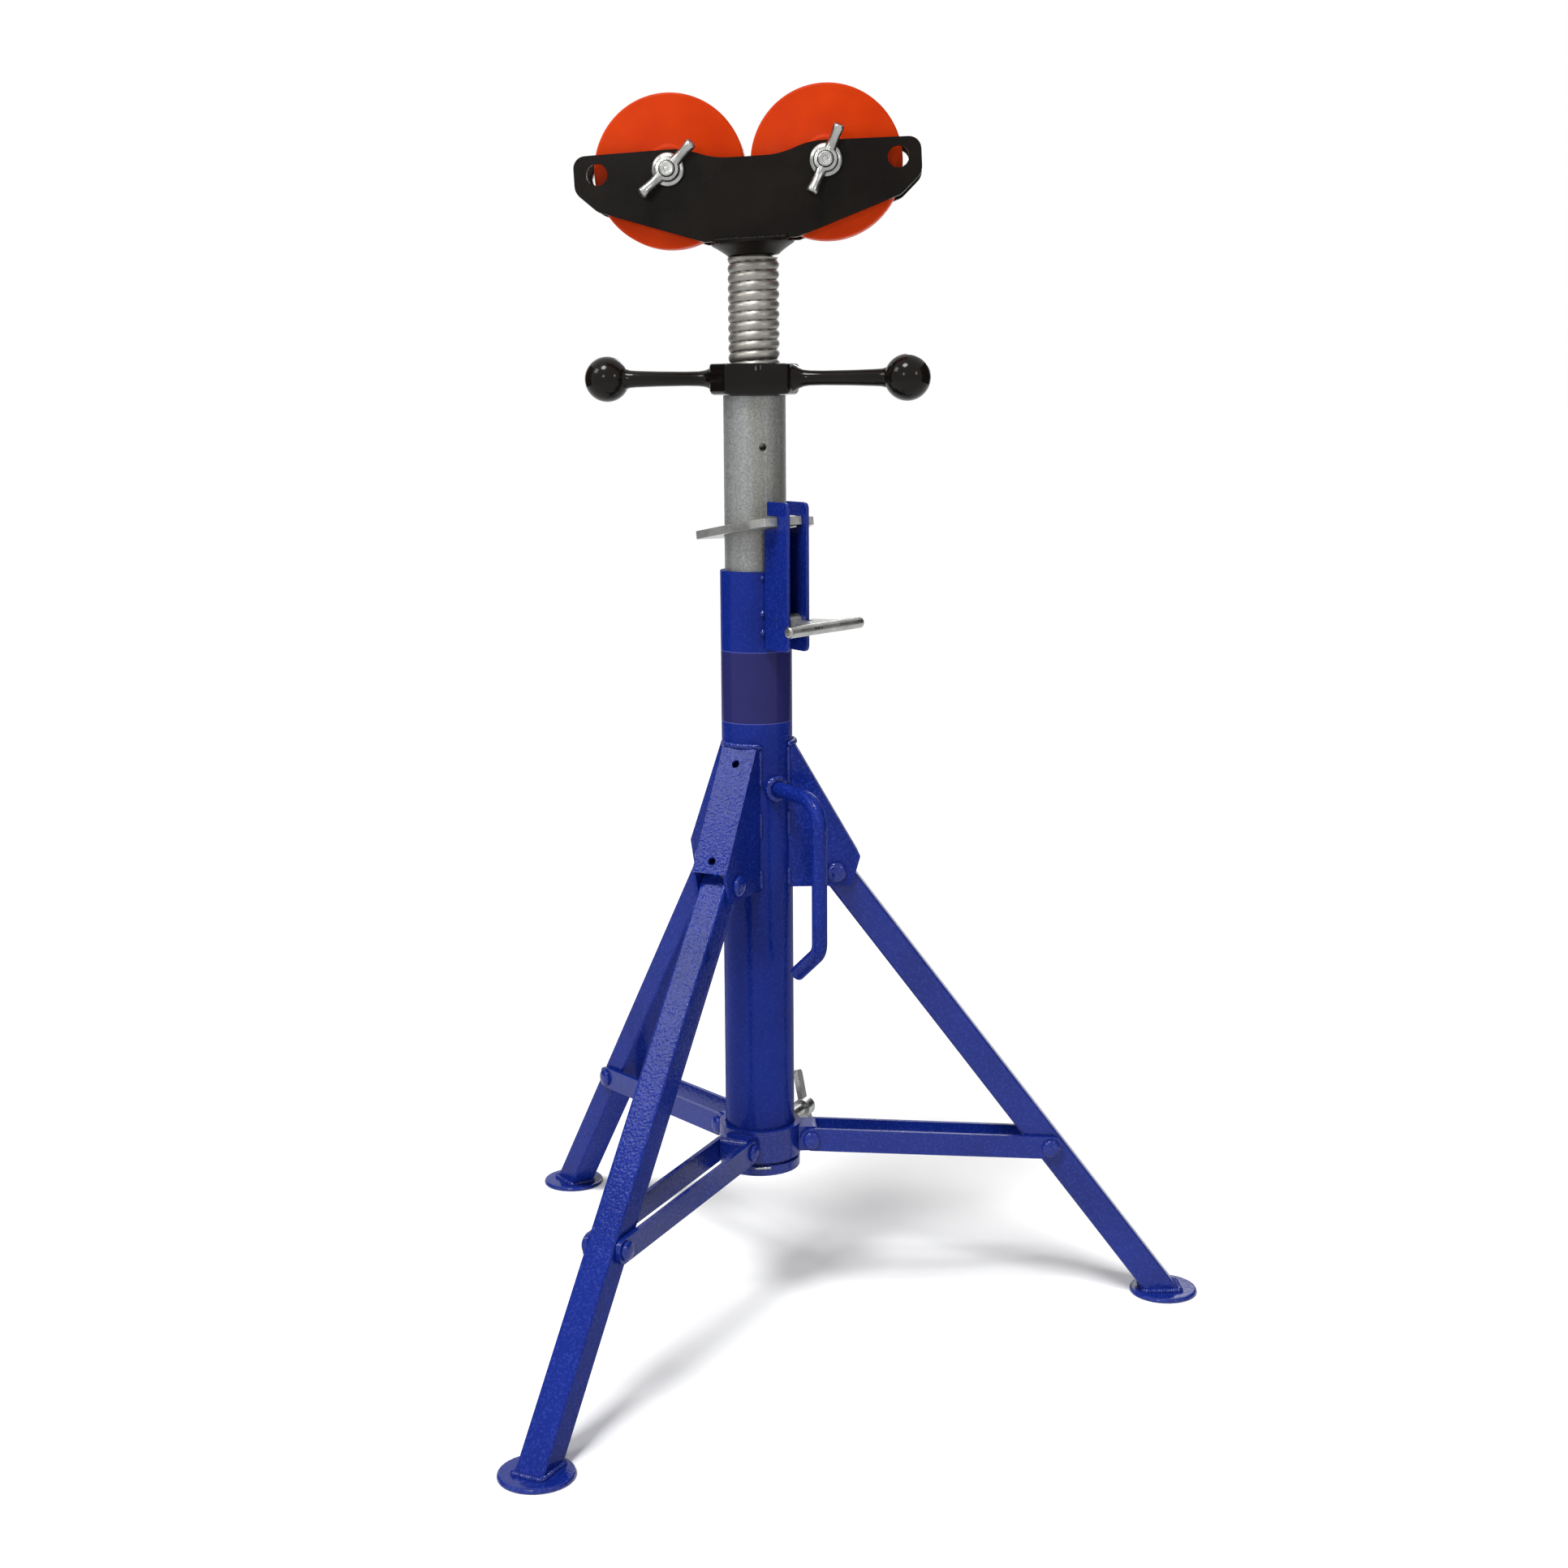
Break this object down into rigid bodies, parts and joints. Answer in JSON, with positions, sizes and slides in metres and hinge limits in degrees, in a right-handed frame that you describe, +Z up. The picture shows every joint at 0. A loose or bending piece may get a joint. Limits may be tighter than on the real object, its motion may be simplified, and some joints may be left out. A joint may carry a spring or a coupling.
{
  "type": "pipe jack stand",
  "caption": "Folding tripod pipe stand with a telescopic column, tilting lock plate, screw jack with armed nut, and a two-wheel head that cradles a pipe.",
  "frame": {"origin": "on the floor, at the middle of the overall box's underside; the column axis stands 90.625 mm from it towards -X", "axes": "+Z up, +X along the leg that reaches to the viewer's right, -Y towards the viewer"},
  "size_m": [0.6038, 0.6878, 1.0457],
  "materials": {
    "blue_paint": "gloss paint with orange peel",
    "black_paint": "gloss paint",
    "zinc_plate": "bright zinc plating",
    "galvanised_steel": "mottled galvanising",
    "orange_wheel": "satin moulded polyurethane"
  },
  "bodies": {
    "column": {"outer_tube": "blue_paint", "base_ring": "blue_paint", "carry_handle": "blue_paint", "lock_channel": "blue_paint", "lever_pin": "blue_paint", "leg_bracket_a": "blue_paint", "leg_bracket_b": "blue_paint", "leg_bracket_c": "blue_paint", "leg_pivot_bolt_a": "blue_paint", "leg_pivot_bolt_b": "blue_paint", "leg_pivot_bolt_c": "blue_paint"},
    "leg_a": {"leg_a": "blue_paint", "foot_a": "blue_paint"},
    "leg_b": {"leg_b": "blue_paint", "foot_b": "blue_paint"},
    "leg_c": {"leg_c": "blue_paint", "foot_c": "blue_paint"},
    "collar": {"slide_collar": "blue_paint", "strut_pin_a": "blue_paint", "strut_pin_b": "blue_paint", "strut_pin_c": "blue_paint"},
    "strut_a": {"strut_bar_a_left": "blue_paint", "strut_bar_a_right": "blue_paint", "strut_rivet_a_left": "blue_paint", "strut_rivet_a_right": "blue_paint"},
    "strut_b": {"strut_bar_b_left": "blue_paint", "strut_bar_b_right": "blue_paint", "strut_rivet_b_left": "blue_paint", "strut_rivet_b_right": "blue_paint"},
    "strut_c": {"strut_bar_c_left": "blue_paint", "strut_bar_c_right": "blue_paint", "strut_rivet_c_left": "blue_paint", "strut_rivet_c_right": "blue_paint"},
    "wing_screw": {"wing_screw": "zinc_plate"},
    "inner_tube": {"inner_tube": "galvanised_steel"},
    "lock_plate": {"lock_plate": "zinc_plate"},
    "lever": {"lever_plate": "zinc_plate", "lever_grip_rod": "zinc_plate"},
    "adjusting_nut": {"adjusting_nut": "black_paint"},
    "head": {"screw_stem": "zinc_plate", "head_hub": "black_paint", "head_plate_near": "black_paint", "head_plate_far": "black_paint", "axle_bolt_left": "zinc_plate", "wheel_bush_left": "zinc_plate", "axle_bolt_right": "zinc_plate", "wheel_bush_right": "zinc_plate", "wheel_washer_left_near": "zinc_plate", "wheel_washer_left_far": "zinc_plate", "wheel_washer_right_near": "zinc_plate", "wheel_washer_right_far": "zinc_plate"},
    "wheel_left": {"wheel_left": "orange_wheel"},
    "wheel_right": {"wheel_right": "orange_wheel"},
    "wing_nut_left": {"axle_wing_nut_left": "zinc_plate"},
    "wing_nut_right": {"axle_wing_nut_right": "zinc_plate"}
  },
  "joints": [
    {"name": "leg_c_fold", "type": "hinge", "parent": "column", "child": "leg_c", "pos_m": [-0.02423, 0, 0.3948], "axis": [0, 1, 0], "range_deg": [0, 36.87]},
    {"name": "leg_b_fold", "type": "hinge", "parent": "column", "child": "leg_b", "pos_m": [-0.12383, 0.0575, 0.3948], "axis": [-0.866, -0.5, 0], "range_deg": [0, 36.87]},
    {"name": "leg_a_fold", "type": "hinge", "parent": "column", "child": "leg_a", "pos_m": [-0.12383, -0.0575, 0.3948], "axis": [0.866, -0.5, 0], "range_deg": [0, 36.87]},
    {"name": "collar_slide", "type": "slide", "parent": "column", "child": "collar", "axis": [0, 0, 1], "range_m": [0, 0.13494]},
    {"name": "strut_c_swing", "type": "hinge", "parent": "collar", "child": "strut_c", "pos_m": [-0.04623, 0, 0.155], "axis": [0, 1, 0], "range_deg": [0, 80.7]},
    {"name": "strut_b_swing", "type": "hinge", "parent": "collar", "child": "strut_b", "pos_m": [-0.11282, 0.03845, 0.155], "axis": [-0.866, -0.5, 0], "range_deg": [0, 80.7]},
    {"name": "strut_a_swing", "type": "hinge", "parent": "collar", "child": "strut_a", "pos_m": [-0.11282, -0.03845, 0.155], "axis": [0.866, -0.5, 0], "range_deg": [0, 80.7]},
    {"name": "wing_screw_turn", "type": "hinge", "parent": "collar", "child": "wing_screw", "pos_m": [-0.09062, 0, 0.155], "axis": [0.5, 0.866, 0], "range_deg": [0, 360]},
    {"name": "inner_tube_slide", "type": "slide", "parent": "column", "child": "inner_tube", "axis": [0, 0, 1], "range_m": [-0.085, 0.26]},
    {"name": "lock_plate_tilt", "type": "hinge", "parent": "column", "child": "lock_plate", "pos_m": [-0.06513, -0.04417, 0.6955], "axis": [0.866, 0.5, 0], "range_deg": [0, 9.3]},
    {"name": "lever_lift", "type": "hinge", "parent": "column", "child": "lever", "pos_m": [-0.06463, -0.04503, 0.612], "axis": [-0.866, -0.5, 0], "range_deg": [0, 35]},
    {"name": "nut_turn", "type": "hinge", "parent": "inner_tube", "child": "adjusting_nut", "pos_m": [-0.09062, 0, 0.8115], "axis": [0, 0, 1], "range_deg": [-3240, 3420]},
    {"name": "screw_lift", "type": "slide", "parent": "inner_tube", "child": "head", "axis": [0, 0, 1], "range_m": [-0.0762, 0.0722]},
    {"name": "wheel_left_spin", "type": "hinge", "parent": "head", "child": "wheel_left", "pos_m": [-0.15736, 0.00678, 0.9777], "axis": [0.1011, 0.9949, 0], "continuous": true},
    {"name": "wing_nut_left_turn", "type": "hinge", "parent": "head", "child": "wing_nut_left", "pos_m": [-0.15736, 0.00678, 0.9777], "axis": [0.1011, 0.9949, 0], "range_deg": [0, 360]},
    {"name": "wheel_right_spin", "type": "hinge", "parent": "head", "child": "wheel_right", "pos_m": [-0.03017, -0.00614, 0.98395], "axis": [0.1011, 0.9949, 0], "continuous": true},
    {"name": "wing_nut_right_turn", "type": "hinge", "parent": "head", "child": "wing_nut_right", "pos_m": [-0.03017, -0.00614, 0.98395], "axis": [0.1011, 0.9949, 0], "range_deg": [0, 360]}
  ],
  "couplings": [
    {"joint": "leg_a_fold", "follows": "leg_c_fold", "ratio": 1},
    {"joint": "leg_b_fold", "follows": "leg_c_fold", "ratio": 1},
    {"joint": "collar_slide", "follows": "leg_c_fold", "m_per_rad": 0.20968},
    {"joint": "strut_c_swing", "follows": "leg_c_fold", "ratio": 2.1882},
    {"joint": "strut_b_swing", "follows": "leg_c_fold", "ratio": 2.1882},
    {"joint": "strut_a_swing", "follows": "leg_c_fold", "ratio": 2.1882},
    {"joint": "screw_lift", "follows": "nut_turn", "m_per_rad": -0.0012732}
  ]
}
